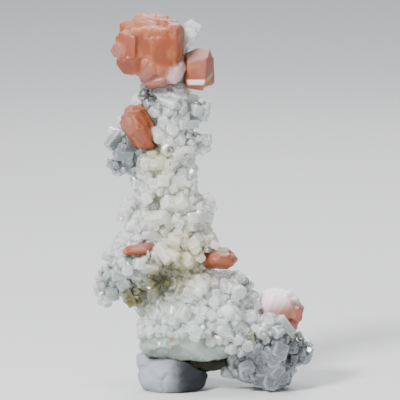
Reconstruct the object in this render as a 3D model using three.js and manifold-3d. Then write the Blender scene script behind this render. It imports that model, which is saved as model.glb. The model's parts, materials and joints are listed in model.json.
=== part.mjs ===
// An apophyllite cluster: a stalactite and its spreading foot, crusted with pale apophyllite crystals,
// carrying sheaves of salmon stilbite, with olive matrix showing underneath, propped on mounting putty.
// Millimetres. +Z is up and -Y faces the viewer. The origin is on the table, under the middle of the box.
import * as THREE from "three";
import { ConvexGeometry } from "three/addons/geometries/ConvexGeometry.js";
import { mergeVertices } from "three/addons/utils/BufferGeometryUtils.js";
import Module from "manifold-3d";

const wasm = await Module();
wasm.setup();

// ---- Driving dimensions ----

const CLEARANCE = 0.35; // between neighbouring pieces
const WELD = 1e-4; // vertices nearer than this are one
const KNOB_WAVE = 2.6; // length scale of the knobbly swelling of the crust
const KNOB_SHARE = 0.1; // how far that swelling goes, as a share of a lump's radius
const FACETED_RADIUS = 9; // a lump with a longer radius than this has 80 facets, and a smaller one has 20

const CRYSTAL_WIDTHS = [5.6, 8.8]; // across the flat sides of an apophyllite crystal
const NARROW_BIAS = 1.4; // a power over 1 makes narrow crystals more common than wide ones
const CRYSTAL_SLENDERNESS = [0.85, 1.25]; // length over width
const CRYSTAL_SPACING = 12.8; // from one large crystal to the next
const CORNER_CUT = 0.46; // how much of a half edge the pyramid faces take off
const PLAIN_WIDTH = 8; // a crystal narrower than this is a plain square prism
const CRYSTAL_LEAN = 0.5; // radians off the surface normal, at most
const BURIED_SHARE = 0.95; // a place nearer to a lump's middle than this share of its radius is inside it
const CRYSTAL_SINK = 0.22; // how deep a crystal's middle sits in the crust, as a share of its width
const CRUST_SEED = 11; // picks which of its possible crystals the crust has

const BLADE_OVERLAP = 1.35; // thickness of a stilbite blade over the distance to the next

const BARE_BAND = { top: 19, right: 4 }; // the smooth broken edge low on the left of the foot
const BARE_SLOPE = -0.5; // faces that look down more steeply than this carry no crystals

const GREENISH_WHITE = 0xd3dad3;
const SALMON = 0xd98f6f;
const PALE_PINK = 0xe6bfb0;
const OLIVE = 0x5d5a34;
const PUTTY_WHITE = 0xe9eaf1;

// The crust is a stalactite of overlapping lumps. Each has its centre and its three radii.
const STALACTITE = [
  { name: "summit", at: [-12.5, 4, 143.5], radii: [6.5, 6.5, 8.5] },
  { name: "summit knob", at: [-7.5, 2, 147], radii: [4, 4.5, 6] },
  { name: "neck", at: [-15, 1, 127.5], radii: [8.6, 8, 8.5] },
  { name: "upper column", at: [-15, 0, 118], radii: [11.5, 10.5, 10] },
  { name: "upper left shoulder", at: [-23, 1, 120], radii: [6.5, 7, 8] },
  { name: "right shoulder", at: [-4.5, 0, 115.5], radii: [4.5, 5, 5] },
  { name: "left shoulder", at: [-31.5, 0, 104.5], radii: [5.5, 6, 9.5] },
  { name: "left tassel", at: [-33, 0, 94], radii: [3.2, 3.4, 3.6] },
  { name: "middle column", at: [-15.5, 0, 102], radii: [11.5, 10.5, 11.5] },
  { name: "right nub", at: [-4.5, 0, 100.5], radii: [4.5, 5, 7] },
  { name: "waist", at: [-15.2, 0, 87.5], radii: [12.6, 11.5, 12] },
  { name: "lower column", at: [-12.5, 0, 74], radii: [14, 12, 11] },
  { name: "left spur", at: [-28.5, 0, 73], radii: [5, 5, 7.5] },
  { name: "right spur", at: [0.5, 0, 79], radii: [3, 4, 4] },
  { name: "flare", at: [-9.5, 0, 60], radii: [16, 13.5, 11.5] },
];
const WING = [
  { name: "wing bridge", at: [-23, 0, 55], radii: [9, 9, 9] },
  { name: "wing", at: [-32.5, 1, 49.5], radii: [11, 9, 10.5] },
  { name: "wing top", at: [-33.5, 1, 59], radii: [5.5, 6, 5.5] },
  { name: "wing tip", at: [-39, 1, 43], radii: [5, 5.5, 5.5] },
  { name: "wing hem", at: [-30, 2, 43], radii: [9.5, 8, 7] },
  { name: "recess", at: [-17, 4, 47.5], radii: [8.5, 8, 6.5] },
];
const FOOT = [
  { name: "foot top", at: [-3, 0, 41.5], radii: [14, 13, 8] },
  { name: "foot", at: [1, 0, 26.5], radii: [25, 19, 16.5] },
  { name: "foot left", at: [-17.5, 0, 25.5], radii: [10.5, 13, 13] },
  { name: "foot right", at: [25, 0, 20], radii: [14, 14, 13.5] },
  { name: "foot shoulder", at: [13.5, 0, 38], radii: [10, 10, 10] },
  { name: "toe", at: [29.5, 0, 8], radii: [9, 10, 10.5] },
  { name: "heel", at: [18, 0, 8.5], radii: [10, 9, 7.8] },
  { name: "side nub", at: [40.5, 0, 14.5], radii: [3.4, 5, 6] },
];

const MATRIX = { at: [1, 3, 12.5], radii: [12, 12, 6], knob: 0.2 };
const PUTTY = [
  { name: "lump", at: [-12.5, -1, 6], radii: [15.5, 12.5, 9.5], knob: 0.05 },
  { name: "flap", at: [-24, -1, 12], radii: [4.5, 8, 5], knob: 0.05 },
];

// Stilbite grows as sheaves of blades. A blade is wide along X, long along Z and thin along Y. at and turn
// place a piece; within it, a sheaf may have its own at and turn, and has its half width and half length,
// its depth and number of blades, how far the front blade tapers and how far the blades twist, in degrees.
const MIDDLE = [0, 0, 0];
const UPRIGHT = [0, 0, 0];
const SIDE_SHEAF = { taper: 0.15, twist: 10 };
const LOW_SHEAF = { taper: 0.15, twist: 24 };
const EDGE_SHEAF = { taper: 0.2, twist: 4 };
const KNOB_SHEAF = { taper: 0.3, twist: 14 };
const STILBITES = [
  {
    name: "stilbite_crown",
    colour: SALMON,
    at: [-23, -8, 145.5],
    turn: UPRIGHT,
    sheaves: [
      { at: [1.5, 3, 1], half: [12, 12.4], depth: 9, blades: 3, taper: 0.15, twist: 40 },
      { at: [3.5, -4.5, -2], half: [9.4, 9], depth: 7, blades: 3, taper: 0.25, twist: 8 },
      { at: [-6.5, -1.5, 1], turn: [0, 0, -42], half: [6, 9.5], depth: 8, blades: 2, ...SIDE_SHEAF },
      { at: [-7.2, -2, -5.5], turn: [18, 0, -25], half: [6.4, 5.6], depth: 9, blades: 2, ...LOW_SHEAF },
      { at: [10.5, -1, 0.5], turn: [0, 0, 50], half: [4.5, 9.5], depth: 5, blades: 2, ...EDGE_SHEAF },
      { at: [9.5, 1, -14], turn: [14, 10, 0], half: [5.2, 5], depth: 7, blades: 2, ...KNOB_SHEAF },
    ],
  },
  {
    name: "stilbite_side_prism",
    colour: SALMON,
    at: [-1.6, -4, 134.4],
    turn: [8, -12, 24],
    sheaves: [{ half: [5.6, 8], depth: 9.5, blades: 2, taper: 0.1, twist: 3 }],
  },
  {
    name: "stilbite_left_sheaf",
    colour: SALMON,
    at: [-26.5, -9, 109.5],
    turn: [0, -30, -12],
    sheaves: [
      { at: [0, 0, 3.5], turn: [-14, 0, 0], half: [6.4, 6.6], depth: 9, blades: 3, taper: 0.25, twist: 12 },
      { at: [0, 0, -2.5], turn: [8, 0, 0], half: [5.8, 8], depth: 8, blades: 3, taper: 0.3, twist: 6 },
    ],
  },
  {
    name: "stilbite_left_blade",
    colour: PALE_PINK,
    at: [-26.5, -9.5, 60.5],
    turn: [0, 82, 0],
    sheaves: [{ half: [2.2, 6.4], depth: 5, blades: 3, taper: 0.2, twist: 4 }],
  },
  {
    name: "stilbite_right_bud",
    colour: SALMON,
    at: [7.5, -5, 55],
    turn: [0, 92, 14],
    sheaves: [{ half: [4.2, 7.6], depth: 8, blades: 4, taper: 0.25, twist: 6 }],
  },
  {
    name: "stilbite_low_disc",
    colour: PALE_PINK,
    at: [31.5, -1, 34],
    turn: [-22, 20, -20],
    sheaves: [{ half: [8.4, 8.8], depth: 9, blades: 3, taper: 0.25, twist: 30 }],
  },
];

// ---- Solids ----

function solidFrom(geometry) {
  const bare = geometry.clone();
  bare.deleteAttribute("normal");
  bare.deleteAttribute("uv");
  const welded = mergeVertices(bare, WELD);
  return new wasm.Manifold(
    new wasm.Mesh({
      numProp: 3,
      vertProperties: welded.attributes.position.array,
      triVerts: new Uint32Array(welded.index.array),
    }),
  );
}

function geometryFrom(solid) {
  const { vertProperties, triVerts } = solid.getMesh();
  const geometry = new THREE.BufferGeometry();
  geometry.setAttribute("position", new THREE.BufferAttribute(vertProperties, 3));
  geometry.setIndex(new THREE.BufferAttribute(triVerts, 1));
  geometry.computeVertexNormals();
  return geometry;
}

function joined(solids) {
  return solids.reduce((whole, piece) => whole.add(piece));
}

// Joining many crystals can close off tiny voids between them, which this fills.
function mainBody(solid) {
  return solid.decompose().reduce((best, body) => (body.volume() > best.volume() ? body : best));
}

function belowTable(depth = 40) {
  return solidFrom(new THREE.BoxGeometry(200, 200, depth).translate(0, 0, -depth / 2));
}

// ---- Lumps of crust ----

// A repeatable sequence of numbers from 0 to 1.
function randomFrom(seed) {
  let state = seed;
  return () => {
    state = (state * 1664525 + 1013904223) % 4294967296;
    return state / 4294967296;
  };
}

function between([low, high], share) {
  return low + (high - low) * share;
}

function swelling(point) {
  return (
    Math.sin(point.x / KNOB_WAVE + 1.3) * Math.sin(point.y / KNOB_WAVE + 0.4) +
    Math.sin(point.y / KNOB_WAVE + 2.2) * Math.sin(point.z / KNOB_WAVE + 2.1)
  );
}

// A lump that has grown by a clearance is the room that it needs in its neighbours.
function lumpSolid({ at, radii, knob = KNOB_SHARE }, grow = 0) {
  const geometry = new THREE.IcosahedronGeometry(1, Math.max(...radii) > FACETED_RADIUS ? 1 : 0);
  const position = geometry.attributes.position;
  const point = new THREE.Vector3();
  for (let i = 0; i < position.count; i++) {
    point.fromBufferAttribute(position, i).multiply(new THREE.Vector3(...radii));
    const place = point.clone().add(new THREE.Vector3(...at));
    point.multiplyScalar(1 + knob * 0.5 * swelling(place));
    point.setLength(point.length() + grow).add(new THREE.Vector3(...at));
    position.setXYZ(i, point.x, point.y, point.z);
  }
  return solidFrom(geometry);
}

// ---- Apophyllite crystals ----

// A square prism. A large one has its outer corners cut by pyramid faces.
function crystalGeometry(width, length) {
  const points = [];
  const cut = (CORNER_CUT * width) / 2;
  for (const x of [-1, 1])
    for (const y of [-1, 1])
      for (const z of [-1, 1]) {
        const corner = new THREE.Vector3((x * width) / 2, (y * width) / 2, (z * length) / 2);
        if (z < 0 || width < PLAIN_WIDTH) {
          points.push(corner);
          continue;
        }
        for (const axis of ["x", "y", "z"]) {
          const point = corner.clone();
          point[axis] -= Math.sign(point[axis]) * cut;
          points.push(point);
        }
      }
  return new ConvexGeometry(points);
}

function isBare(place, normal) {
  const lowLeft = place.z < BARE_BAND.top && place.x < BARE_BAND.right;
  return normal.z < BARE_SLOPE || lowLeft;
}

function isBuried(place, lump, lumps) {
  return lumps.some((other) => {
    if (other === lump) return false;
    const offset = place.clone().sub(new THREE.Vector3(...other.at));
    return offset.divide(new THREE.Vector3(...other.radii)).length() < BURIED_SHARE;
  });
}

// Places spread evenly over a lump by the golden angle, with the surface normal at each.
function sitesOn({ at, radii }) {
  const [a, b, c] = radii;
  const power = 1.6; // of the usual approximation to an ellipsoid's area
  const mean = ((a * b) ** power + (a * c) ** power + (b * c) ** power) / 3;
  const area = 4 * Math.PI * mean ** (1 / power);
  const count = Math.round(area / CRYSTAL_SPACING ** 2);
  const golden = Math.PI * (3 - Math.sqrt(5));
  return Array.from({ length: count }, (_, i) => {
    const height = 1 - (2 * (i + 0.5)) / count;
    const ring = Math.sqrt(1 - height * height);
    const sphere = new THREE.Vector3(ring * Math.cos(golden * i), ring * Math.sin(golden * i), height);
    const size = new THREE.Vector3(...radii);
    return {
      place: sphere.clone().multiply(size).add(new THREE.Vector3(...at)),
      normal: sphere.clone().divide(size).normalize(),
    };
  });
}

function crystalAt({ place, normal }, random) {
  const width = between(CRYSTAL_WIDTHS, random() ** NARROW_BIAS);
  const length = width * between(CRYSTAL_SLENDERNESS, random());
  const leanAngle = () => between([-CRYSTAL_LEAN, CRYSTAL_LEAN], random());
  const lean = new THREE.Euler(leanAngle(), leanAngle(), 0);
  const turn = new THREE.Quaternion()
    .setFromUnitVectors(new THREE.Vector3(0, 0, 1), normal)
    .multiply(new THREE.Quaternion().setFromEuler(lean))
    .multiply(new THREE.Quaternion().setFromAxisAngle(new THREE.Vector3(0, 0, 1), random() * Math.PI));
  const middle = place.clone().addScaledVector(normal, -CRYSTAL_SINK * width);
  return crystalGeometry(width, length).applyQuaternion(turn).translate(middle.x, middle.y, middle.z);
}

function apophylliteSolids() {
  const lumps = [...STALACTITE, ...WING, ...FOOT];
  const random = randomFrom(CRUST_SEED);
  return lumps.flatMap((lump) => {
    const crystals = sitesOn(lump)
      .filter(({ place, normal }) => !isBare(place, normal) && !isBuried(place, lump, lumps))
      .map((site) => solidFrom(crystalAt(site, random)));
    return [lumpSolid(lump), ...crystals];
  });
}

// ---- Stilbite ----

// The outline of a blade: straight sides and blunt, cut ends.
function bladeOutline(halfWidth, halfLength) {
  const quarter = [
    [1, 0.55],
    [0.5, 1],
  ];
  const upper = [...quarter, ...quarter.map(([x, z]) => [-x, z]).reverse()];
  const around = [...upper, ...upper.map(([x, z]) => [-x, -z])];
  return new THREE.Shape(around.map(([x, z]) => new THREE.Vector2(x * halfWidth, z * halfLength)));
}

function bladeGeometry(halfWidth, halfLength, thickness) {
  const outline = bladeOutline(halfWidth, halfLength);
  return new THREE.ExtrudeGeometry(outline, { depth: thickness, bevelEnabled: false })
    .translate(0, 0, -thickness / 2)
    .rotateX(Math.PI / 2);
}

function turned(geometry, degrees) {
  const [x, y, z] = degrees.map(THREE.MathUtils.degToRad);
  return geometry.applyQuaternion(new THREE.Quaternion().setFromEuler(new THREE.Euler(x, y, z)));
}

function sheafSolid({ at = MIDDLE, turn = UPRIGHT, half, depth, blades, taper, twist }, grow = 0) {
  const pitch = depth / blades;
  return joined(
    Array.from({ length: blades }, (_, i) => {
      const forward = i / (blades - 1); // 0 at the back and 1 at the front
      const size = 1 - taper * forward;
      const [halfWidth, halfLength] = half.map((length) => length * size + grow);
      const blade = bladeGeometry(halfWidth, halfLength, pitch * BLADE_OVERLAP + 2 * grow);
      turned(blade, [0, twist * (i % 2 ? 0.5 : -0.5) * (1 - 0.5 * forward), 0]);
      blade.translate(0, depth * (0.5 - forward) * (1 - 1 / blades), 0);
      return solidFrom(turned(blade, turn).translate(...at));
    }),
  );
}

function stilbiteMesh({ name, colour, at, turn, sheaves }) {
  const solid = joined(sheaves.map((sheaf) => sheafSolid(sheaf)));
  const mesh = new THREE.Mesh(geometryFrom(solid), stone(colour, 0.35));
  mesh.name = name;
  mesh.position.set(...at);
  mesh.rotation.set(...turn.map(THREE.MathUtils.degToRad));
  mesh.updateMatrixWorld();
  return mesh;
}

// The socket that a stilbite piece sits in.
function stilbiteSocket({ sheaves }, mesh) {
  const solid = joined(sheaves.map((sheaf) => sheafSolid(sheaf, CLEARANCE)));
  return solidFrom(geometryFrom(solid).applyMatrix4(mesh.matrixWorld));
}

// ---- The specimen ----

function stone(colour, roughness) {
  return new THREE.MeshStandardMaterial({ color: colour, roughness, metalness: 0 });
}

function named(name, solid, material) {
  const mesh = new THREE.Mesh(geometryFrom(solid), material);
  mesh.name = name;
  return mesh;
}

function cutBy(solid, rooms) {
  return mainBody(rooms.reduce((rest, room) => rest.subtract(room), solid));
}

const specimen = new THREE.Group();
const table = belowTable();

const stilbites = STILBITES.map(stilbiteMesh);
const sockets = STILBITES.map((piece, i) => stilbiteSocket(piece, stilbites[i]));
specimen.add(...stilbites);

specimen.add(named("matrix_rock", lumpSolid(MATRIX), stone(OLIVE, 0.8)));
const matrixRoom = lumpSolid(MATRIX, CLEARANCE);

const crust = cutBy(joined(apophylliteSolids()), [table, matrixRoom, ...sockets]);
specimen.add(named("apophyllite_crust", crust, stone(GREENISH_WHITE, 0.25)));

const footRooms = FOOT.map((lump) => lumpSolid(lump, CLEARANCE));
const putty = cutBy(joined(PUTTY.map((lump) => lumpSolid(lump))), [table, matrixRoom, ...footRooms]);
specimen.add(named("mounting_putty", putty, stone(PUTTY_WHITE, 0.6)));

const middle = new THREE.Box3().setFromObject(specimen).getCenter(new THREE.Vector3());
specimen.position.set(-middle.x, -middle.y, 0);

export default specimen;
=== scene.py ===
"""An apophyllite cluster: a crystal-crusted stalactite with salmon stilbites, on mounting putty."""

import json
import math
from functools import partialmethod

import bmesh
import bpy
import numpy
from mathutils import Euler, Matrix, Vector, noise
from mathutils.bvhtree import BVHTree
from mathutils.interpolate import poly_3d_calc

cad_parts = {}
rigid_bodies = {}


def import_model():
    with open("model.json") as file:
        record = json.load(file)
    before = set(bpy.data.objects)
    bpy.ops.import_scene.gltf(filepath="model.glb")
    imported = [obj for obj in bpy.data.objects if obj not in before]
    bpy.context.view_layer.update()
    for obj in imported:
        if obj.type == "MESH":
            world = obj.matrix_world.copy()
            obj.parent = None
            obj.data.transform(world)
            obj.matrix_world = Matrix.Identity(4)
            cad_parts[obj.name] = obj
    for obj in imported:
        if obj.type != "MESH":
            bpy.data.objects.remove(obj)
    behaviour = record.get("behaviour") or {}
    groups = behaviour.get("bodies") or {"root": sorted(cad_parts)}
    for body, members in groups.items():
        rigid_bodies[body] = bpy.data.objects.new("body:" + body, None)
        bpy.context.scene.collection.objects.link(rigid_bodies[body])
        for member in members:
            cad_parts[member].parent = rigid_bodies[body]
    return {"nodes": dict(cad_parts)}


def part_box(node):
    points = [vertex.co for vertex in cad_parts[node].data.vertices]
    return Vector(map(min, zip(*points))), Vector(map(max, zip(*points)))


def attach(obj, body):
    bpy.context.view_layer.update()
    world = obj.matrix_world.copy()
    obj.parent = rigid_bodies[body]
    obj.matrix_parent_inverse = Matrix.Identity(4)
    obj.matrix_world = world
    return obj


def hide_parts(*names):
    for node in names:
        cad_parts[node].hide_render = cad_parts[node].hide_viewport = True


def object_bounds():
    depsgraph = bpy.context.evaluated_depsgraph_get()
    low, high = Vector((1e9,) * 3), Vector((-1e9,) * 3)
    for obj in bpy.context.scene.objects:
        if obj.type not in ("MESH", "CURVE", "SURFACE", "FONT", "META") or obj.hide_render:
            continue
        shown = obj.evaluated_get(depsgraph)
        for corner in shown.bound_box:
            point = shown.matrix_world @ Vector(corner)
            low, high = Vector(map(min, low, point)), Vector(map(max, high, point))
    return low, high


bl_info = {
    "name": "Apophyllite Cluster",
    "version": (1, 0, 0),
    "blender": (4, 5, 0),
    "location": "3D View > Sidebar > Mineral",
    "description": "Grows a crystal crust, stilbite sheaves, matrix rock and putty on the cluster's frame",
    "category": "Object",
}

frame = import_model()
CAD_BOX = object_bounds()
MM = 0.001
CRUST = "apophyllite_crust"
MATRIX = "matrix_rock"
PUTTY = "mounting_putty"


# ---- Node trees ----


class Wire:
    """A node's output. Arithmetic on it adds Math nodes to its tree."""

    def __init__(self, graph, socket):
        self.graph = graph
        self.socket = socket

    def math(self, operation, *others):
        sockets = dict(enumerate((self, *others)))
        return self.graph.add("ShaderNodeMath", {"operation": operation}, sockets)

    __add__ = __radd__ = partialmethod(math, "ADD")
    __mul__ = __rmul__ = partialmethod(math, "MULTIPLY")
    __sub__ = partialmethod(math, "SUBTRACT")
    __truediv__ = partialmethod(math, "DIVIDE")
    __pow__ = partialmethod(math, "POWER")
    __abs__ = partialmethod(math, "ABSOLUTE")
    at_least = partialmethod(math, "MAXIMUM")
    at_most = partialmethod(math, "MINIMUM")
    above = partialmethod(math, "GREATER_THAN")
    below = partialmethod(math, "LESS_THAN")
    floor = partialmethod(math, "FLOOR")

    def __rsub__(self, other):
        return self * -1.0 + other

    def __rtruediv__(self, other):
        return self ** -1.0 * other

    def rise(self, start, end):
        """0 before start, 1 after end and smooth between them."""
        sockets = {0: self, 1: start, 2: end, 3: 0.0, 4: 1.0}
        return self.graph.add("ShaderNodeMapRange", {"interpolation_type": "SMOOTHSTEP"}, sockets)


class Graph:
    """Adds nodes to a shader or geometry tree. Their sockets are given by index, by name or as keywords."""

    RANDOM_KINDS = ("FLOAT_VECTOR", "FLOAT", "INT")

    def __init__(self, tree):
        self.tree = tree

    def node(self, kind, settings=None, sockets=None, **named):
        node = self.tree.nodes.new(kind)
        for name, value in (settings or {}).items():
            setattr(node, name, value)
        named = {key.replace("_", " "): value for key, value in named.items()}
        for key, value in {**(sockets or {}), **named}.items():
            for item in value if isinstance(value, list) else [value]:
                self.feed(node.inputs[key], item)
        return node

    def add(self, kind, settings=None, sockets=None, output=0, **named):
        return Wire(self, self.node(kind, settings, sockets, **named).outputs[output])

    def feed(self, socket, value):
        if isinstance(value, Wire):
            self.tree.links.new(value.socket, socket)
        else:
            socket.default_value = value

    def split(self, vector):
        node = self.node("ShaderNodeSeparateXYZ", {}, {0: vector})
        return [Wire(self, output) for output in node.outputs]

    def joined(self, x, y, z):
        return self.add("ShaderNodeCombineXYZ", {}, {0: x, 1: y, 2: z})

    def scaled(self, vector, factor):
        return self.add("ShaderNodeVectorMath", {"operation": "SCALE"}, {0: vector}, Scale=factor)

    def random(self, kind, low, high, seed, **named):
        """A random value between low and high for each element."""
        index = self.RANDOM_KINDS.index(kind)
        sockets = {2 * index: low, 2 * index + 1: high}
        return self.add("FunctionNodeRandomValue", {"data_type": kind}, sockets, index, Seed=seed, **named)

    def blend(self, share, first, second):
        """A colour between first and second."""
        return self.add("ShaderNodeMix", {"data_type": "RGBA"}, {0: share, 6: first, 7: second}, 2)


# ---- Materials ----


class Finish(Graph):
    """A material with a Principled shader whose patterns are in metres on the object's own coordinates."""

    def __init__(self, name):
        self.material = bpy.data.materials.new(name)
        self.material.use_nodes = True
        super().__init__(self.material.node_tree)
        self.tree.nodes.clear()
        self.place = self.add("ShaderNodeTexCoord", output="Object")

    def principled(self, **sockets):
        surface = self.add("ShaderNodeBsdfPrincipled", {"subsurface_method": "RANDOM_WALK"}, **sockets)
        self.output = self.node("ShaderNodeOutputMaterial", Surface=surface)
        return self.material

    def attribute(self, name, output="Fac"):
        return self.add("ShaderNodeAttribute", {"attribute_name": name}, output=output)

    def clouds(self, size, detail=2.0, roughness=0.5, where=None):
        """Soft noise from 0 to 1 whose blotches are about size metres across."""
        fineness = {"Scale": 1.0 / size, "Detail": detail, "Roughness": roughness}
        return self.add("ShaderNodeTexNoise", {}, fineness, Vector=where or self.place)

    def stretched(self, scale, where=None):
        return self.add("ShaderNodeMapping", Vector=where or self.place, Scale=scale)

    def near(self, centre, radius, where=None):
        """1 at centre, falling to 0 at radius metres from it."""
        ends = {0: where or self.place, 1: centre}
        distance = self.add("ShaderNodeVectorMath", {"operation": "DISTANCE"}, ends, "Value")
        return 1.0 - distance.rise(0.0, radius)

    def bumped(self, height, strength, distance):
        return self.add("ShaderNodeBump", Height=height, Strength=strength, Distance=distance)


# Places on the crust with a colour of their own, where the clear and olive ones are partly painted shade:
# which, where in millimetres, how far and how strongly.
ZONES = (
    ("mint", (-8, -14, 28), 28, 0.7),
    ("mint", (-36, -4, 44), 18, 0.4),
    ("cream", (-8, -10, 58), 24, 1.0),
    ("cream", (-19, -10, 99), 13, 0.9),
    ("cream", (-14, -8, 80), 18, 0.5),
    # The clear zones are clearer crystal, and their dark grey is partly painted shade, most of all on the
    # right foot.
    ("clear", (-34, -4, 100), 18, 1.3),
    ("clear", (-22, -8, 125), 12, 1.0),
    ("clear", (-2, -8, 116), 16, 0.6),
    ("clear", (34, -8, 8), 36, 1.7),
    ("clear", (20, -8, 44), 18, 0.5),
    ("clear", (-36, -4, 46), 20, 0.8),
    # The olive zones are olive matrix showing in the recesses under the column, darkened partly as painted
    # shade.
    ("olive", (-16.5, -10, 47), 14, 1.4),
    ("olive", (-27.5, -7, 39), 12, 1.4),
)
# Dark inclusions and small stains: which colour, where in millimetres and how far round.
SPECKS = (
    ("speck", (-24.5, -4.5, 124.5), 4.5),
    ("speck", (-21.0, -7.5, 123.5), 3.2),
    ("speck", (-13.7, -12.2, 102.5), 2.6),
    ("olive", (20.5, -11.7, 24.6), 3.6),
    ("rose", (-14.0, -13.6, 23.6), 2.4),
)
SPECK_SQUEEZE = 0.35  # how far depth counts, so that a speck also colours crystals before and behind it
SPECK_STRENGTH = 1.6
SPECK_MOST = 0.9  # share of a speck's colour where it is densest
ZONE_UNEVENNESS = 0.8  # how far the blotches change a zone's strength
RIM_KEPT = 0.12  # share of their painted glow that the crystals' rims keep in a zone


def apophyllite_material(settings):
    finish = Finish("apophyllite")
    tint = finish.attribute("tint")
    reach = finish.attribute("reach")
    rim = finish.attribute("rim")
    crystal = tint.above(0.01)
    blotches = finish.clouds(9 * MM, 2.0)
    mottle = finish.clouds(2.2 * MM, 3.0, 0.6)

    paleness = tint * 0.5 + (mottle - 0.5) * 0.4 + (blotches - 0.5) * 1.4
    base = finish.blend(paleness.rise(0.0, 0.75) * 0.7, settings.body_colour, settings.pale_colour)
    # Painted light low between the crystals: the roots are lighter than the crystals' bodies, so that the
    # shade there is softened.
    base = finish.blend((1.0 - reach.rise(0.5, 0.85)) * 0.6, base, settings.painted_root_light_colour)
    # Painted glow: the crystals' bevels and cut corners are made white, as if lit through their thin edges.
    base = finish.blend(rim * settings.painted_rim_glow_share, base, settings.painted_rim_glow_colour)
    core = finish.blend(blotches.rise(0.35, 0.65) * 0.6, settings.band_colour, settings.body_colour)
    base = finish.blend(crystal, core, base)

    uneven = blotches * ZONE_UNEVENNESS + (1.0 - ZONE_UNEVENNESS / 2)
    taken = 1.0 - rim * RIM_KEPT
    for name, centre, radius, strength in ZONES:
        spread = finish.near(Vector(centre) * MM, radius * MM) * strength * uneven
        base = finish.blend(spread.at_most(1.0) * taken, base, getattr(settings, f"{name}_colour"))

    squeezed = finish.stretched((1.0, SPECK_SQUEEZE, 1.0))
    grain = finish.clouds(1.1 * MM, 2.0, 0.7).rise(0.35, 0.55)
    for name, (x, y, z), radius in SPECKS:
        patch = finish.near(Vector((x, y * SPECK_SQUEEZE, z)) * MM, radius * MM, squeezed)
        share = (patch * grain * SPECK_STRENGTH).at_most(SPECK_MOST)
        base = finish.blend(share, base, getattr(settings, f"{name}_colour"))

    material = finish.principled(
        Base_Color=base,
        Roughness=mottle.rise(0.3, 0.8) * 0.25 + 0.12,
        Normal=finish.bumped(finish.clouds(0.5 * MM, 2.0), 0.1, 0.2 * MM),
        IOR=settings.ior,
        Transmission_Weight=settings.clarity,
        Subsurface_Weight=settings.milkiness,
        Subsurface_Radius=(1.0, 1.0, 0.95),
        Subsurface_Scale=settings.glow_depth,
    )
    glass = {"Color": settings.glass_colour, "Density": settings.absorption}
    inside = finish.add("ShaderNodeVolumeAbsorption", {}, glass)
    finish.feed(finish.output.inputs["Volume"], inside)
    return material


def stilbite_material(name, settings, paleness):
    """Deep orange inside a sheaf, pinker at its ends, and where the mesh says so pearl white, mostly a
    painted sheen, and brown, partly painted shade.
    """
    finish = Finish(name)
    grain = finish.attribute("grain", "Vector")
    pale = finish.attribute("pale") + paleness
    u, _, w = finish.split(grain)
    reach = abs(u).at_least(abs(w)).rise(0.3, 1.05)
    streaks = finish.clouds(1.0, 3.0, 0.6, finish.stretched((7.0, 5.0, 1.2), where=grain))
    blotches = finish.clouds(5 * MM, 2.0)

    outward = (reach * 0.7 + streaks * 0.3).at_most(1.0)
    colour = finish.blend(outward, settings.deep_colour, settings.salmon_colour)
    ends = abs(w).rise(0.55, 1.05)
    colour = finish.blend(ends * streaks.rise(0.3, 0.65) * 0.85, colour, settings.pink_colour)
    colour = finish.blend(blotches.rise(0.45, 0.7) * 0.5, colour, settings.peach_colour)
    colour = finish.blend(pale.rise(0.0, 1.0), colour, settings.rose_colour)
    # From 1 to 2 the paleness turns to pearl white, mostly a painted sheen.
    colour = finish.blend(pale.rise(1.0, 2.0), colour, settings.painted_pearl_sheen_colour)
    # Below 0 the paleness turns to brown, partly painted shade on the lobes that face down.
    colour = finish.blend((pale * -1.0).rise(0.0, 1.0), colour, settings.shaded_brown_colour)

    lines = finish.clouds(1.0, 2.0, 0.7, finish.stretched((22.0, 9.0, 0.8), where=grain))
    return finish.principled(
        Base_Color=colour,
        Roughness=streaks * 0.25 + 0.36,
        Normal=finish.bumped(lines, 0.3, 0.25 * MM),
        IOR=1.5,
        Subsurface_Weight=0.45,
        Subsurface_Radius=(1.0, 0.45, 0.28),
        Subsurface_Scale=settings.glow_depth,
        Coat_Weight=0.15,
        Coat_Roughness=0.2,
    )


def matrix_material(settings):
    finish = Finish("olive_matrix")
    coarse = finish.clouds(4 * MM, 4.0, 0.6)
    fine = finish.clouds(0.8 * MM, 3.0, 0.7)
    colour = finish.blend(coarse.rise(0.35, 0.65), settings.dark_colour, settings.olive_colour)
    colour = finish.blend(fine.rise(0.55, 0.75) * 0.5, colour, settings.ochre_colour)
    return finish.principled(
        Base_Color=colour,
        Roughness=0.72 + fine * 0.2,
        Normal=finish.bumped(coarse + fine * 0.4, 0.8, 0.8 * MM),
    )


def putty_material(settings):
    finish = Finish("mounting_putty")
    shadow_and_surface_blotches = finish.clouds(6 * MM, 4.0, 0.6)
    grain = finish.clouds(0.7 * MM, 3.0, 0.6)
    across, _, _ = finish.split(finish.place)
    # Painted shadow: the putty turns grey towards the right, where the specimen shades it, with a blotchy
    # edge.
    shade = across.rise(-21 * MM, -4 * MM) + (shadow_and_surface_blotches - 0.5) * 0.6
    colour = finish.blend(shade.rise(0.0, 1.0), settings.white_colour, settings.shadow_grey_colour)
    return finish.principled(
        Base_Color=colour,
        Roughness=0.7 + shadow_and_surface_blotches * 0.2,
        Specular_IOR_Level=0.3,
        Normal=finish.bumped(grain + shadow_and_surface_blotches * 0.6, 0.4, 0.3 * MM),
        Subsurface_Weight=0.15,
        Subsurface_Radius=(1.0, 1.0, 1.0),
        Subsurface_Scale=0.8 * MM,
    )


def floor_material(settings):
    return Finish("studio_floor").principled(Base_Color=settings.floor_colour, Roughness=0.8)


# ---- Shapes ----


FLAT_ANGLE = 0.02  # faces that meet at less than this, in radians, become one
WELD = 0.002 * MM  # corners of the CAD triangles that lie closer than this are one
FIELDS = {"FLOAT": "value", "FLOAT_VECTOR": "vector"}


def new_object(name, data):
    made = bpy.data.objects.new(name, data)
    bpy.context.scene.collection.objects.link(made)
    return made


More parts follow.
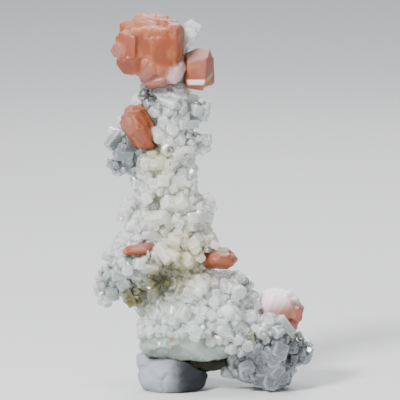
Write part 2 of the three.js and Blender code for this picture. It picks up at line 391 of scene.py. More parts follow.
def built(work, mesh):
    """Writes what was worked on to a mesh."""
    work.to_mesh(mesh)
    work.free()
    return mesh


def merged_copy(node):
    """A copy of a CAD node's mesh with its triangles joined, for the piece that replaces it."""
    mesh = frame["nodes"][node].data.copy()
    work = bmesh.new()
    work.from_mesh(mesh)
    bmesh.ops.remove_doubles(work, verts=work.verts, dist=WELD)
    mesh.materials.clear()
    return new_object(f"{node}_look", built(work, mesh))


def joined_copy(names, label):
    """One helper object with the meshes of several pieces."""
    work = bmesh.new()
    for name in names:
        work.from_mesh(bpy.data.objects[name].data)
    return new_object(label, built(work, bpy.data.meshes.new(label)))


def hull_mesh(name, points):
    """The flat-faced solid that wraps these points."""
    work = bmesh.new()
    for point in points:
        work.verts.new(point)
    bmesh.ops.convex_hull(work, input=work.verts)
    bmesh.ops.dissolve_limit(work, angle_limit=FLAT_ANGLE, verts=work.verts, edges=work.edges)
    loose = [vertex for vertex in work.verts if not vertex.link_faces]
    bmesh.ops.delete(work, geom=loose, context="VERTS")
    return built(work, bpy.data.meshes.new(name))


def corner_values(mesh, name, kind, value_at):
    """Stores a value on each face corner, because those survive when solids are joined."""
    values = mesh.attributes.new(name, kind, "CORNER")
    flat = []
    for loop in mesh.loops:
        flat.extend(value_at(mesh.vertices[loop.vertex_index].co))
    values.data.foreach_set(FIELDS[kind], flat)


def plain(piece):
    """Turns what a piece's modifiers make into its plain mesh."""
    evaluated = piece.evaluated_get(bpy.context.evaluated_depsgraph_get())
    mesh = bpy.data.meshes.new_from_object(evaluated)
    mesh.name = piece.name
    piece.modifiers.clear()
    piece.data = mesh
    return piece


def melted(piece, voxel, smoothing):
    """Remeshes a faceted solid to an even, rounded surface."""
    remesh = piece.modifiers.new("even", "REMESH")
    remesh.mode = "VOXEL"
    remesh.voxel_size = voxel
    smooth = piece.modifiers.new("rounded", "SMOOTH")
    smooth.factor = 0.5
    smooth.iterations = smoothing
    return plain(piece)


def blurred(mesh, name, rounds):
    """Spreads a value that is stored on vertices along the mesh's edges."""
    ends = numpy.empty(len(mesh.edges) * 2, dtype=int)
    mesh.edges.foreach_get("vertices", ends)
    first, second = ends.reshape(-1, 2).T
    values = numpy.empty(len(mesh.vertices))
    data = mesh.attributes[name].data
    data.foreach_get("value", values)
    count = len(values)
    near = numpy.bincount(ends, minlength=count)
    for _ in range(rounds):
        total = sum(numpy.bincount(a, values[b], count) for a, b in ((first, second), (second, first)))
        values = (values + total) / (near + 1)
    data.foreach_set("value", values)


def softened(piece, voxel, smoothing, fill, blur):
    """Rounds a sheaf's edges, fills grooves narrower than twice fill, and keeps the corner values."""
    old = piece.data
    old.calc_loop_triangles()
    triangles = old.loop_triangles
    places = [vertex.co for vertex in old.vertices]
    finder = BVHTree.FromPolygons(places, [tuple(triangle.vertices) for triangle in triangles])
    melted(piece, voxel, 1)
    melted(moved(piece, lambda place, normal: normal * fill), voxel, 1)
    melted(moved(piece, lambda place, normal: normal * -fill), voxel, smoothing)
    shares = []
    for vertex in piece.data.vertices:
        place, _, index, _ = finder.find_nearest(vertex.co)
        triangle = triangles[index]
        weights = poly_3d_calc([places[corner] for corner in triangle.vertices], place)
        shares.append(list(zip(triangle.loops, weights)))
    for name, kind in (("grain", "FLOAT_VECTOR"), ("pale", "FLOAT")):
        before = [getattr(item, FIELDS[kind]) for item in old.attributes[name].data]
        values = piece.data.attributes.new(name, kind, "POINT").data
        for value, share in zip(values, shares):
            parts = [before[corner] * weight for corner, weight in share]
            setattr(value, FIELDS[kind], parts[0] + parts[1] + parts[2])
    blurred(piece.data, "pale", blur)
    return smoothly_shaded(piece)


def smoothly_shaded(piece):
    for polygon in piece.data.polygons:
        polygon.use_smooth = True
    return piece


def moved(piece, change):
    """Moves each vertex by what change(place, normal) says."""
    mesh = piece.data
    steps = [change(vertex.co.copy(), vertex.normal.copy()) for vertex in mesh.vertices]
    for vertex, step in zip(mesh.vertices, steps):
        vertex.co += step
    mesh.update()
    return piece


def finished(piece, material, slot, *nodes):
    """Gives a piece its material and body, and hides the CAD nodes that it stands for. Its slot is not
    used.
    """
    piece.data.materials.clear()
    piece.data.materials.append(material)
    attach(piece, "root")
    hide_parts(*nodes)


def dropped(*pieces):
    for piece in pieces:
        bpy.data.objects.remove(piece)


def geometry_tree(name, inputs):
    """A geometry tree with a mesh in, a mesh out and named inputs, and the wires of those inputs."""
    tree = bpy.data.node_groups.new(name, "GeometryNodeTree")
    tree.interface.new_socket("Geometry", in_out="OUTPUT", socket_type="NodeSocketGeometry")
    tree.interface.new_socket("Geometry", in_out="INPUT", socket_type="NodeSocketGeometry")
    for label, kind in inputs.items():
        tree.interface.new_socket(label, in_out="INPUT", socket_type=kind)
    graph = Graph(tree)
    entry = graph.node("NodeGroupInput")
    wires = {socket.name: Wire(graph, socket) for socket in entry.outputs if socket.name}
    return graph, wires


def united_output(graph, solids, material):
    """Ends a tree with these solids joined in one, with a material."""
    union = graph.add("GeometryNodeMeshBoolean", {"operation": "UNION", "solver": "MANIFOLD"}, {1: solids})
    realized = graph.add("GeometryNodeRealizeInstances", {}, {0: union})
    dressed = graph.add("GeometryNodeSetMaterial", Geometry=realized, Material=material)
    graph.node("NodeGroupOutput", {}, {0: dressed})
    return graph.tree


def shaped_by(piece, tree, values):
    """Runs a geometry tree on a piece with these values for its named inputs."""
    modifier = piece.modifiers.new(tree.name, "NODES")
    modifier.node_group = tree
    identifiers = {s.name: s.identifier for s in tree.interface.items_tree if s.in_out == "INPUT"}
    for label, value in values.items():
        modifier[identifiers[label]] = value
    return plain(piece)


# ---- Crust ----

CRYSTAL_SHAPES = (
    # corner cut and top bevel in widths, length over width, and how pale the crystal is
    (0.22, 0.15, 1.45, 0.30),
    (0.13, 0.12, 1.70, 0.95),
    (0.26, 0.18, 1.25, 0.55),
    (0.16, 0.15, 2.00, 0.75),
    (0.19, 0.13, 1.50, 0.10),
    (0.24, 0.16, 1.65, 0.65),
)
CRYSTAL_ROOT = 0.62  # share of a crystal's length that is below its origin
CRYSTAL_FOOT = 0.82  # width of its foot in widths
BEVEL_RIM, CORNER_RIM = 1.0, 0.45  # how far bevels and cut corners take the painted rim glow


def crystal_mesh(name, corner, bevel, slenderness, tint):
    """A square prism one unit wide with cut corners, a bevelled top and a narrower foot."""
    low = -CRYSTAL_ROOT * slenderness
    high = low + slenderness
    outline = []
    for side_x in (-1, 1):
        for side_y in (-1, 1):
            outline.append((side_x * 0.5, side_y * (0.5 - corner)))
            outline.append((side_x * (0.5 - corner), side_y * 0.5))
    layers = ((low, CRYSTAL_FOOT), (high - bevel, 1.0), (high, 1.0 - 2.0 * bevel))
    mesh = hull_mesh(name, [(x * wide, y * wide, z) for z, wide in layers for x, y in outline])
    corner_values(mesh, "tint", "FLOAT", lambda co: [tint])
    corner_values(mesh, "reach", "FLOAT", lambda co: [(co.z - low) / slenderness])
    # rim marks the bevels and cut corners for the material's painted glow
    rims = mesh.attributes.new("rim", "FLOAT", "CORNER").data
    for polygon in mesh.polygons:
        across, deep, up = [abs(value) for value in polygon.normal]
        sloping = 0.3 < up < 0.95
        between = min(across, deep) > 0.4
        rim = BEVEL_RIM if sloping else CORNER_RIM if between else 0.0
        for corner_index in polygon.loop_indices:
            rims[corner_index].value = rim
    return mesh


def crystal_collection():
    collection = bpy.data.collections.new("crystal_shapes")
    bpy.context.scene.collection.children.link(collection)
    for index, shape in enumerate(CRYSTAL_SHAPES):
        name = f"crystal_shape_{index}"
        collection.objects.link(bpy.data.objects.new(name, crystal_mesh(name, *shape)))
    return collection


# The crystals' sizes in millimetres, in the order they join the core, and what each adds to the seed.
CRYSTAL_SIZES = {
    "Great": {"Spacing": 6.8, "Narrowest": 4.6, "Widest": 6.1, "Seed": 20.0},
    "Large": {"Spacing": 3.7, "Narrowest": 3.4, "Widest": 5.3, "Seed": 0.0},
    "Small": {"Spacing": 2.4, "Narrowest": 2.1, "Widest": 3.4, "Seed": 10.0},
}
CRYSTAL_MEASURES = {
    "Spacing": "Least distance between",
    "Narrowest": "Width of the narrowest of the",
    "Widest": "Width of the widest of the",
}
CRUST_VALUES = (
    *("Inset", "Clearance", "Bare Top", "Bare Right", "Lowest", "Lean", "Steepest"),
    *(f"{size} {measure}" for size in CRYSTAL_SIZES for measure in CRYSTAL_MEASURES),
)
BAND_RISE = 0.8  # share of the inset that the broken edge gets back
RAGGED_SCALE = 160.0  # waves for each metre in the broken edge's outline
RAGGEDNESS = 0.5
ROOM_SHARE = 0.33  # share of the widest crystal that is kept free round a stilbite
NARROW_BIAS = 1.7  # how much commoner narrow crystals are
LENGTH_SHARE, LENGTH_BASE = 0.4, 0.5  # a crystal's length in its own width and in the widest one's
SQUAT_WIDER, SQUAT_LOWER = 0.35, 0.6  # how the crystals of the right foot differ from the others


def crust_tree():
    """Grows three sizes of crystal on a mesh, and joins them all to it in one solid."""
    graph, wires = geometry_tree(
        "crystal_crust",
        {
            **dict.fromkeys(CRUST_VALUES, "NodeSocketFloat"),
            "Seed": "NodeSocketInt",
            "Shapes": "NodeSocketCollection",
            "Keep Clear Of": "NodeSocketObject",
            "Material": "NodeSocketMaterial",
        },
    )
    top, right, lowest = wires["Bare Top"], wires["Bare Right"], wires["Lowest"]
    normal = graph.add("GeometryNodeInputNormal")
    across, _, height = graph.split(graph.add("GeometryNodeInputPosition"))
    band = (1.0 - across.rise(right, right + lowest)) * (1.0 - height.rise(top - lowest, top))
    inset = wires["Inset"] * height.rise(0.0, lowest * 2.0) * (band * BAND_RISE - 1.0)
    shrink = graph.scaled(normal, inset)
    core = graph.add("GeometryNodeSetPosition", Geometry=wires["Geometry"], Offset=shrink)

    _, _, facing_up = graph.split(normal)
    others = graph.add("GeometryNodeObjectInfo", {}, {"Object": wires["Keep Clear Of"]}, "Geometry")
    distance = graph.add("GeometryNodeProximity", {"target_element": "FACES"}, {0: others}, "Distance")
    ragged = graph.add("ShaderNodeTexNoise", Scale=RAGGED_SCALE, Detail=1.0) - 0.5
    bare = height.below(top * (ragged * RAGGEDNESS + 1.0)) * across.below(right)
    grows = (1.0 - bare) * facing_up.above(wires["Steepest"]) * height.above(lowest)
    # 1 on the right foot, whose crystals are squat
    squat = across.rise(right, right * 2.5) * (1.0 - height.rise(top * 0.6, top))
    listed = {"Collection": wires["Shapes"], "Separate Children": True, "Reset Children": True}
    shapes = graph.add("GeometryNodeCollectionInfo", {}, listed)
    lean = graph.joined(wires["Lean"], wires["Lean"], math.pi)

    def crystals(size):
        seed = wires["Seed"] + CRYSTAL_SIZES[size]["Seed"]
        spacing, narrow, wide = [wires[f"{size} {measure}"] for measure in CRYSTAL_MEASURES]
        spread = graph.node(
            "GeometryNodeDistributePointsOnFaces",
            {"distribute_method": "POISSON"},
            Mesh=core,
            Selection=grows * distance.above(wide * ROOM_SHARE + wires["Clearance"]),
            Distance_Min=spacing,
            Density_Max=4.0 / (spacing ** 2.0),  # so dense that the spacing decides
            Seed=seed,
        )
        turn = graph.random("FLOAT_VECTOR", graph.scaled(lean, -1.0), lean, seed + 1.0)
        turned = graph.add(
            "FunctionNodeRotateRotation",
            {"rotation_space": "LOCAL"},
            Rotation=Wire(graph, spread.outputs["Rotation"]),
            Rotate_By=graph.add("FunctionNodeEulerToRotation", {}, {0: turn}),
        )
        chance = graph.random("FLOAT", 0.0, 1.0, seed + 2.0)
        width = (narrow + (wide - narrow) * chance ** NARROW_BIAS) * (1.0 + squat * SQUAT_WIDER)
        length = (width * LENGTH_SHARE + wide * LENGTH_BASE) * (1.0 - squat * SQUAT_LOWER)
        return graph.add(
            "GeometryNodeInstanceOnPoints",
            Points=Wire(graph, spread.outputs["Points"]),
            Instance=shapes,
            Pick_Instance=True,
            Instance_Index=graph.random("INT", 0, len(CRYSTAL_SHAPES) - 1, seed + 3.0),
            Rotation=turned,
            Scale=graph.joined(width, width, length),
        )

    return united_output(graph, [core, *map(crystals, CRYSTAL_SIZES)], wires["Material"])


# ---- Stilbite ----


SHEAF_LENGTHS = ("Half Width", "Half Length", "Depth", "Drift Across", "Drift Along")
SHEAF_ANGLES = ("Fan", "Curl")
SHEAF_SHARES = ("Taper", "Shoulder", "Level", "Rough")
SHEAF_COUNTS = ("Plates", "Strips", "Seed")


class Sheaf:
    """A bundle of stilbite blades: wide along X, long along Z, stacked along Y, in millimetres and degrees.

    fan spreads the strips' ends and curl wraps the plates round Z. taper and drift say how much smaller the
    front plate is and how far its middle moves. shoulder squares the outline, and level lifts the outer
    strips to the height of the middle ones. pale is -1 for brown, which is partly painted shade, 0 for
    salmon, 1 for pink and 2 for pearl, mostly a painted sheen, and fade is how it changes across, forward
    and along.
    """

    USUAL = {
        "curl": 0.0,
        "level": 0.0,
        "rough": 0.04,
        "drift": (0.0, 0.0),
        "pale": 0.0,
        "fade": (0.0, 0.0, 0.0),
    }

    def __init__(self, at, turn, half, depth, plates, strips, **shape):
        self.at, self.turn, self.half, self.depth = at, turn, half, depth
        self.shape = {**self.USUAL, **shape, "plates": plates, "strips": strips}

    def placing(self, centre):
        turn = Euler([math.radians(angle) for angle in self.turn]).to_matrix().to_4x4()
        return Matrix.Translation(centre + Vector(self.at) * MM) @ turn

    def paleness(self, grain):
        return self.shape["pale"] + grain.dot(Vector(self.shape["fade"]))

    def inputs(self):
        """The values of the sheaf tree's inputs."""
        lengths = zip(SHEAF_LENGTHS, (*self.half, self.depth, *self.shape["drift"]))
        labels = (*SHEAF_ANGLES, *SHEAF_SHARES, *SHEAF_COUNTS)
        shape = {label: self.shape[label.lower()] for label in labels}
        angles = {label: math.radians(shape[label]) for label in SHEAF_ANGLES}
        return {**{label: value * MM for label, value in lengths}, **shape, **angles}


# A blade's upper outline as places across and along, and its layers' place, width and length.
BLADE_OUTLINE = ((1.0, 0.88), (0.62, 0.965), (0.0, 1.0), (-0.62, 0.965), (-1.0, 0.88))
BLADE_LAYERS = ((-1.0, 0.82, 0.965), (-0.45, 1.0, 1.0), (0.45, 1.0, 1.0), (1.0, 0.82, 0.965))
STRIP_OVERLAP, PLATE_OVERLAP = 1.4, 0.8  # half a blade's width and depth over its share of the sheaf
OUTERMOST = 0.92  # how far out on the outline the outermost strip ends
FRONT_BIAS = 1.25  # how much of the taper falls to the front plates
STAGGER = 7.0  # how far strips stand forward or back, in roughnesses of a plate's depth
SKEW = 0.03  # how far strips lean at random, in radians


def blade_mesh():
    """One blade, a unit each way from its middle, with blunt points at its ends and chamfered rims."""
    around = [*BLADE_OUTLINE, *((-x, -z) for x, z in BLADE_OUTLINE)]
    points = [(x * wide, y, z * long) for y, wide, long in BLADE_LAYERS for x, z in around]
    return hull_mesh("blade", points)


def sheaf_tree():
    """Stacks copies of a blade in plates along Y, each plate made of strips side by side along X."""
    inputs = {
        **dict.fromkeys((*SHEAF_LENGTHS, *SHEAF_ANGLES, *SHEAF_SHARES), "NodeSocketFloat"),
        **dict.fromkeys(SHEAF_COUNTS, "NodeSocketInt"),
        "Material": "NodeSocketMaterial",
    }
    graph, wires = geometry_tree("stilbite_sheaf", inputs)
    plates, strips = wires["Plates"], wires["Strips"]
    index = graph.add("GeometryNodeInputIndex")
    plate = (index / strips).floor()
    strip = index - plate * strips

    def chance(reach, shift, **each):
        return graph.random("FLOAT", -reach, reach, wires["Seed"] + float(shift), **each)

    across = (strip + 0.5 + chance(0.2, 1)) / strips * 2.0 - 1.0
    forward = plate / (plates - 1.0)
    step = (forward + chance(0.5, 2, ID=plate) / plates).at_least(0.0)
    size = 1.0 - wires["Taper"] * step ** FRONT_BIAS
    shoulder, rough = wires["Shoulder"], wires["Rough"]
    profile = (1.0 - (abs(across) * OUTERMOST) ** shoulder) ** (1.0 / shoulder)
    uneven = 1.0 + rough * chance(1.0, 3)
    stagger = wires["Depth"] * rough * chance(STAGGER, 4) / plates
    half_width = wires["Half Width"] * size
    bend = across * across * wires["Curl"] * half_width * 0.5
    lift = rough * chance(1.0, 5) + wires["Level"] * size * (1.0 - profile)
    place = graph.joined(
        across * half_width * (1.0 - 0.6 / strips) + wires["Drift Across"] * forward,
        wires["Depth"] * (0.5 - forward) * (1.0 - 1.0 / plates) + stagger + bend,
        wires["Half Length"] * lift + wires["Drift Along"] * forward,
    )
    tilt = graph.joined(0.0, across * wires["Fan"] + chance(SKEW, 6), across * wires["Curl"])
    blades = graph.add(
        "GeometryNodeInstanceOnPoints",
        Points=graph.add("GeometryNodePoints", Count=plates * strips, Position=place),
        Instance=wires["Geometry"],
        Rotation=graph.add("FunctionNodeEulerToRotation", {}, {0: tilt}),
        Scale=graph.joined(
            half_width / strips * STRIP_OVERLAP * uneven,
            wires["Depth"] / plates * PLATE_OVERLAP,
            wires["Half Length"] * size * profile * uneven,
        ),
    )
    return united_output(graph, [blades], wires["Material"])


def grained(mesh, half, depth, paleness):
    """Stores each corner's place in its bundle, from -1 to 1 each way, and its paleness."""
    reach = Vector((half[0], depth / 2, half[1])) * MM

    def grain_at(co):
        return Vector([place / limit for place, limit in zip(co, reach)])

    corner_values(mesh, "grain", "FLOAT_VECTOR", grain_at)
    corner_values(mesh, "pale", "FLOAT", lambda co: [paleness(grain_at(co))])


def united(name, pieces):
    """Joins closed pieces in one closed solid."""
    whole, *others = pieces
    for other in others:
        union = whole.modifiers.new(other.name, "BOOLEAN")
        union.operation = "UNION"
        union.solver = "MANIFOLD"
        union.object = other
    plain(whole)
    dropped(*others)
    whole.name = name
    whole.data.name = name
    return whole


def middle_of(node):
    low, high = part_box(node)
    return (low + high) / 2


def sheaf_pieces(node, sheaves, tree, material):
    """The sheaves of a node, each one solid, placed on the middle of the node's box."""
    centre = middle_of(node)
    blade = blade_mesh()
    pieces = []
    for sheaf in sheaves:
        piece = new_object(f"{node}_sheaf", blade)
        shaped_by(piece, tree, {**sheaf.inputs(), "Material": material})
        grained(piece.data, sheaf.half, sheaf.depth, sheaf.paleness)
        piece.data.transform(sheaf.placing(centre))
        pieces.append(piece)
    return pieces


GLINT_FACET = (-4.8, -3.4)  # the facet under the prism's front, whose white is a painted highlight, lies before and below these
PRISM_CORNERS = (
    # the top face
    (-5.6, 2.0, 7.0), (-0.3, 4.5, 9.2), (5.0, 2.5, 9.1), (3.7, -5.5, 5.7), (-4.4, -5.5, 4.3),
    # the right side
    (6.4, 1.0, 4.4), (6.6, 1.0, -0.4), (4.6, 0.5, -4.6),
    # the lower edge of the front, and the two facets under it
    (3.3, -6.8, -3.0), (-4.9, -6.8, -2.8),
    (2.5, -5.2, -5.4), (-4.4, -5.2, -5.5), (2.0, -0.5, -8.4), (-5.2, -0.5, -7.2),
    # the back
    (-6.0, 7.0, 5.0), (4.2, 7.4, 6.5), (4.4, 7.0, -4.8), (-6.0, 6.8, -6.0),
)
PRISM_HALF, PRISM_DEPTH = (7.0, 9.0), 14.0
PRISM_PALE, TOP_PALE, GLINT_PALE = 0.4, 1.15, 2.0  # how pale its sides and top are, and the facet under its front, painted white as a highlight


def prism_block(node):
    """The side prism's body: a block with a wide top face and two facets under its front."""
    mesh = hull_mesh("prism_block", [Vector(point) * MM for point in PRISM_CORNERS])
    grained(mesh, PRISM_HALF, PRISM_DEPTH, lambda grain: PRISM_PALE * grain.x + PRISM_PALE)
    values = mesh.attributes["pale"].data
    # The facet under the front is painted pearl white as a highlight; faces that look up are paler.
    for polygon in mesh.polygons:
        highlit = polygon.center.y < GLINT_FACET[0] * MM and polygon.center.z < GLINT_FACET[1] * MM
        if highlit or polygon.normal.z > 0.5:
            for corner in polygon.loop_indices:
                values[corner].value = GLINT_PALE if highlit else TOP_PALE
    mesh.transform(Matrix.Translation(middle_of(node)))
    return new_object("prism_block", mesh)


STILBITES = {
    "stilbite_crown": [
        # the block that all the others stand on, and the great fan behind with its scalloped top
        Sheaf((0.4, 1.0, 0.2), (0, 0, 0), (12.4, 11.0), 12.0, 4, 6, fan=4, taper=0.06, shoulder=2.4,
              rough=0.02, seed=2),
        Sheaf((1.5, 4.6, 2.0), (0, 0, 0), (12.0, 13.2), 6.4, 3, 9, fan=15, taper=0.12, curl=8, shoulder=2.2,
              rough=0.015, pale=0.3, seed=3),
        # the smooth dome between them
        Sheaf((0.6, 0.2, 1.6), (0, 0, 0), (11.8, 13.0), 11.0, 8, 3, fan=6, taper=0.36, shoulder=2.2, curl=6,
              rough=0.0, fade=(0.0, 0.0, 0.5), seed=4),
        # the broad plateau in front of it, and the deep plate low on its right
        Sheaf((3.4, -2.8, 0.0), (0, 0, -3), (9.8, 9.8), 7.4, 7, 6, fan=7, taper=0.22, drift=(0.4, -1.2),
              shoulder=2.1, level=0.7, rough=0.01, curl=14, pale=-0.1, fade=(-0.2, 0.0, 0.3), seed=5),
        Sheaf((5.6, -5.6, -1.6), (-3, 0, 2), (4.8, 6.6), 2.0, 3, 4, fan=3, taper=0.12, shoulder=3,
              level=0.5, rough=0.01, pale=-0.3, seed=6),
        # the ridged left side
        Sheaf((-6.6, -1.4, 2.2), (0, -4, -32), (5.8, 8.0), 9.0, 4, 5, fan=6, taper=0.2, curl=20,
              shoulder=2.2, rough=0.025, pale=0.3, fade=(0.0, 0.0, 0.3), seed=8),
        # the edge-on plates on the right
        Sheaf((12.0, -1.0, 3.4), (0, 4, 64), (5.2, 8.4), 3.2, 4, 3, fan=4, taper=0.15, shoulder=4, pale=0.4,
              seed=21),
        # the striated foot of the plateau
        Sheaf((0.2, -3.0, -7.2), (16, 40, 0), (4.8, 5.4), 6.6, 5, 7, fan=12, taper=0.3, shoulder=2.4,
              rough=0.06, pale=0.7, seed=25),
        # the brown lobe, whose darkness is partly painted shade as it faces down, and the pale scalloped
        # lobe at the lower left
        Sheaf((-6.6, -1.8, -4.8), (14, -30, -14), (6.2, 5.8), 9.4, 6, 6, fan=10, taper=0.35, shoulder=2.0,
              pale=-0.4, curl=30, seed=13),
        Sheaf((-10.2, -0.6, 0.4), (0, -24, -26), (4.6, 5.2), 9.0, 5, 5, fan=10, taper=0.4, shoulder=2.0,
              pale=0.9, curl=34, seed=17),
        # the pale knob at the lower right and the bud that joins it to the neck
        Sheaf((10.8, -1.8, -8.6), (12, 18, 10), (5.0, 6.2), 9.4, 6, 5, fan=6, taper=0.4, shoulder=1.9,
              curl=34, pale=1.35, seed=34),
        Sheaf((3.8, -0.2, -11.4), (14, 78, 0), (4.4, 7.8), 8.4, 6, 5, fan=5, taper=0.4, shoulder=1.9,
              curl=30, pale=0.9, seed=41),
    ],
    "stilbite_side_prism": [
        # the thin plates that notch the block's right edge
        Sheaf((2.2, 2.0, -0.6), (0, -8, 70), (5.0, 6.6), 5.6, 5, 2, fan=2, taper=0.12, shoulder=7, pale=0.3,
              seed=4),
    ],
    "stilbite_left_sheaf": [
        Sheaf((-2.0, 0.4, 3.4), (-10, -38, -8), (6.4, 7.4), 9.6, 6, 4, fan=5, taper=0.5, shoulder=1.9,
              curl=34, rough=0.1, pale=0.4, fade=(-0.3, 0.0, 0.3), seed=6),
        Sheaf((1.2, 0.2, -0.6), (6, -30, 6), (6.0, 9.4), 9.2, 6, 4, fan=3, taper=0.5, shoulder=1.6, curl=36,
              rough=0.1, pale=0.15, fade=(-0.3, 0.0, 0.2), seed=9),
    ],
    "stilbite_left_blade": [
        Sheaf((0, 0, 0), (0, 82, 0), (2.3, 6.8), 5.2, 5, 3, fan=3, taper=0.35, shoulder=2.0, curl=25,
              pale=0.2, fade=(-0.6, 0.0, 0.4), seed=2),
    ],
    "stilbite_right_bud": [
        Sheaf((0, 0, 0), (-6, 96, 8), (4.6, 7.9), 9.0, 8, 5, fan=2, taper=0.5, shoulder=1.8, curl=34,
              pale=0.3, fade=(-0.2, 0.0, 0.0), seed=7),
    ],
    "stilbite_low_disc": [
        # its pale and fade paint a sheen at the disc's upper left and shade at its lower right
        Sheaf((-0.8, 0.8, 0.6), (-16, 22, -14), (9.2, 9.6), 11.0, 6, 6, fan=7, taper=0.35, shoulder=2.0,
              curl=24, rough=0.02, pale=1.2, fade=(-0.6, 0.0, 0.8), seed=11),
        # the orange face on its right and the small lobe under that
        Sheaf((6.2, -1.6, -1.4), (-10, 10, 24), (3.0, 4.8), 6.2, 4, 3, fan=4, taper=0.3, shoulder=2.0,
              curl=20, pale=0.55, seed=12),
        Sheaf((4.8, -1.0, -6.4), (-10, 50, 20), (2.6, 3.8), 5.0, 4, 3, fan=4, taper=0.4, shoulder=1.9,
              curl=30, pale=0.9, seed=14),
    ],
}
BLOCKS = {"stilbite_side_prism": prism_block}
PALE_STILBITES = ("stilbite_left_blade", "stilbite_low_disc")
PALER = 0.15  # what their material adds to their paleness
BLOCK_BLUR = 3  # rounds that spread the paleness of a block, whose faces stay distinct
FILLED_MORE = {  # how many times wider than usual the grooves are that get filled
    "stilbite_crown": 2.0,
    "stilbite_left_sheaf": 4.0,
    "stilbite_right_bud": 3.0,
    "stilbite_low_disc": 4.0,
}


# ---- Settings ----


def number_prop(name, description, default, least=0.0, most=1.0, **more):
    return bpy.props.FloatProperty(
        name=name, description=description, default=default, min=least, max=most, precision=5, **more
    )


def length_prop(name, description, default, least=0.0):
    return number_prop(name, description, default, least, 10.0, unit="LENGTH")


def angle_prop(name, description, degrees):
    return number_prop(name, description, math.radians(degrees), most=math.pi, subtype="ANGLE")


def count_prop(name, description, default):
    return bpy.props.IntProperty(name=name, description=description, default=default)


def colour_prop(name, description, default):
    opaque = (*default, 1.0)
    return bpy.props.FloatVectorProperty(
        name=name, description=description, default=opaque, size=4, min=0.0, max=1.0, subtype="COLOR"
    )


class CrustSettings(bpy.types.PropertyGroup):
    inset: length_prop("Inset", "How far the core lies below the crystals' reach", 1.5 * MM)
    voxel: length_prop("Core detail", "Size of the core's facets", 1.3 * MM)
    clearance: length_prop("Clearance", "Room kept around each stilbite", 0.4 * MM)
    bare_top: length_prop("Bare top", "Top of the broken edge low on the left", 23 * MM)
    bare_right: length_prop("Bare right", "Right end of the broken edge", 8 * MM, -0.1)
    lowest: length_prop("Lowest", "Height under which no crystal grows", 3.5 * MM)
    steepest: number_prop("Steepest", "Faces that look down more than this stay bare", -0.55, -1.0)
    lean: angle_prop("Lean", "Most that a crystal leans", 32)
    seed: count_prop("Seed", "Which crust grows", 5)
    pale_colour: colour_prop("Pale", "Colour of the crystals' tips", (0.92, 0.93, 0.92))
    body_colour: colour_prop("Body", "Colour of most crystals", (0.70, 0.735, 0.70))
    mint_colour: colour_prop("Mint", "Colour of the foot's front and the wing", (0.66, 0.76, 0.69))
    cream_colour: colour_prop("Cream", "Colour of the middle of the column", (0.80, 0.74, 0.47))
    # The clear colour is partly painted shade in the clearer places.
    clear_colour: colour_prop("Clear", "Colour of the clearest places", (0.235, 0.27, 0.28))
    band_colour: colour_prop("Band", "Colour of the broken edge", (0.34, 0.39, 0.33))
    # The olive colour is partly painted shade in the recesses.
    olive_colour: colour_prop("Olive", "Colour of the recesses under the column", (0.17, 0.16, 0.055))
    speck_colour: colour_prop("Specks", "Colour of the dark inclusions", (0.05, 0.045, 0.05))
    rose_colour: colour_prop("Rose", "Colour of the small pink stain", (0.75, 0.38, 0.30))
    glass_colour: colour_prop("Body colour", "Colour that light takes inside", (0.80, 0.93, 0.84))
    # The roots' colour is painted light that softens the shade between the crystals.
    painted_root_light_colour: colour_prop("Root", "Colour low between the crystals", (0.84, 0.88, 0.85))
    # The rims' colour is a painted glow on the crystals' edges.
    painted_rim_glow_colour: colour_prop("Rim", "Colour of the crystals' edges", (1.0, 1.0, 1.0))
    painted_rim_glow_share: number_prop("Rim brightness", "How far edges take the rim's colour", 1.0)
    ior: number_prop("IOR", "Index of refraction", 1.535, 1.0, 3.0)
    clarity: number_prop("Clarity", "Share that is clear", 0.35)
    milkiness: number_prop("Milkiness", "Share that is milky", 1.0)
    glow_depth: length_prop("Glow depth", "How deep light goes into the milky share", 6.0 * MM)
    absorption: number_prop("Absorption", "Light lost for each metre inside", 4.0, most=1000.0)


for size, sizes in CRYSTAL_SIZES.items():
    for measure, what in CRYSTAL_MEASURES.items():
        CrustSettings.__annotations__[f"{size}_{measure}".lower()] = length_prop(
            f"{size} {measure.lower()}", f"{what} {size.lower()} crystals", sizes[measure] * MM
        )


class StilbiteSettings(bpy.types.PropertyGroup):
    voxel: length_prop("Detail", "Size of the facets", 0.32 * MM)
    smoothing: count_prop("Smoothing", "How far edges are rounded", 2)
    fill: length_prop("Fill", "Grooves narrower than twice this are filled", 0.3 * MM)
    blur: count_prop("Blur", "How far the pale places spread", 24)
    deep_colour: colour_prop("Deep", "Colour inside a sheaf", (0.23, 0.038, 0.006))
    salmon_colour: colour_prop("Salmon", "Main colour", (0.31, 0.068, 0.013))
    peach_colour: colour_prop("Peach", "Colour of the soft pale patches", (0.46, 0.165, 0.055))
    pink_colour: colour_prop("Pink", "Colour of the pale rims", (0.65, 0.27, 0.17))
    rose_colour: colour_prop("Rose", "Colour of the pinker pieces", (0.30, 0.11, 0.078))
    # Pearl is mostly a painted sheen on the pale faces.
    painted_pearl_sheen_colour: colour_prop("Pearl", "Colour of the pearly faces", (0.93, 0.80, 0.84))
    # Brown is partly painted shade: the lobes that face down are darkened with it.
    shaded_brown_colour: colour_prop("Brown", "Colour of the lobes that face down", (0.10, 0.024, 0.013))
    glow_depth: length_prop("Glow depth", "How deep light goes in", 1.6 * MM)


class MatrixSettings(bpy.types.PropertyGroup):
    voxel: length_prop("Detail", "Size of the facets", 0.8 * MM)
    relief: length_prop("Relief", "Height of the rock's grain", 0.7 * MM)
    olive_colour: colour_prop("Olive", "Main colour", (0.018, 0.017, 0.006))
    dark_colour: colour_prop("Dark", "Colour of the dark grains", (0.009, 0.009, 0.005))
    ochre_colour: colour_prop("Ochre", "Colour of the light grains", (0.045, 0.040, 0.016))


